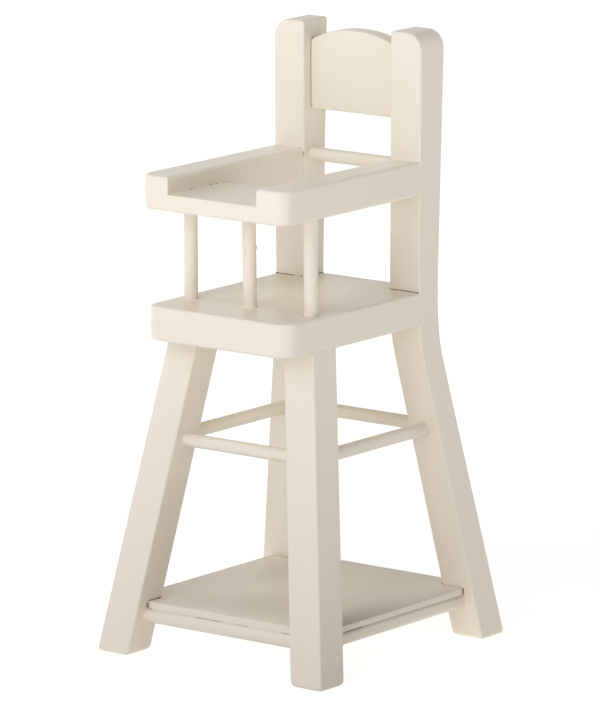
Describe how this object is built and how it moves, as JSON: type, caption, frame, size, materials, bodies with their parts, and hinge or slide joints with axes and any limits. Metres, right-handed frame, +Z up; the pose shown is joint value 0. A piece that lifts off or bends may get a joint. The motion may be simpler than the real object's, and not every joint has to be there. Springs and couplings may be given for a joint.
{
  "type": "doll high chair",
  "caption": "Painted wooden high chair for a small doll, with splayed legs, a fixed tray on spindles, arms, an arched back panel and a low shelf.",
  "frame": {"origin": "middle of the footprint, on the floor", "axes": "+Z up, -Y towards the front of the tray, +X towards the chair's side that is on the right when seen from its front"},
  "size_m": [0.0816, 0.088, 0.1783],
  "materials": {
    "painted_wood": "satin cream paint on solid wood",
    "painted_board": "satin cream paint on thin board, the grain just showing",
    "painted_dowel": "satin cream paint on round dowel",
    "bare_wood": "bare beech, hidden"
  },
  "bodies": {
    "root": {"left_rear_post": "painted_wood", "right_rear_post": "painted_wood", "left_front_leg": "painted_wood", "right_front_leg": "painted_wood", "seat": "painted_wood", "left_arm": "painted_wood", "right_arm": "painted_wood", "tray_board": "painted_wood", "back_panel": "painted_wood", "foot_shelf": "painted_board", "upper_front_rail": "painted_dowel", "upper_back_rail": "painted_dowel", "upper_left_rail": "painted_dowel", "upper_right_rail": "painted_dowel", "lower_front_rail": "painted_dowel", "lower_back_rail": "painted_dowel", "lower_left_rail": "painted_dowel", "lower_right_rail": "painted_dowel", "left_spindle": "painted_dowel", "middle_spindle": "painted_dowel", "right_spindle": "painted_dowel", "back_rod": "painted_dowel", "left_arm_pin": "bare_wood", "right_arm_pin": "bare_wood", "left_leg_pin": "bare_wood", "right_leg_pin": "bare_wood", "left_seat_pin": "bare_wood", "right_seat_pin": "bare_wood", "left_lower_panel_pin": "bare_wood", "right_lower_panel_pin": "bare_wood", "left_upper_panel_pin": "bare_wood", "right_upper_panel_pin": "bare_wood"}
  },
  "joints": []
}
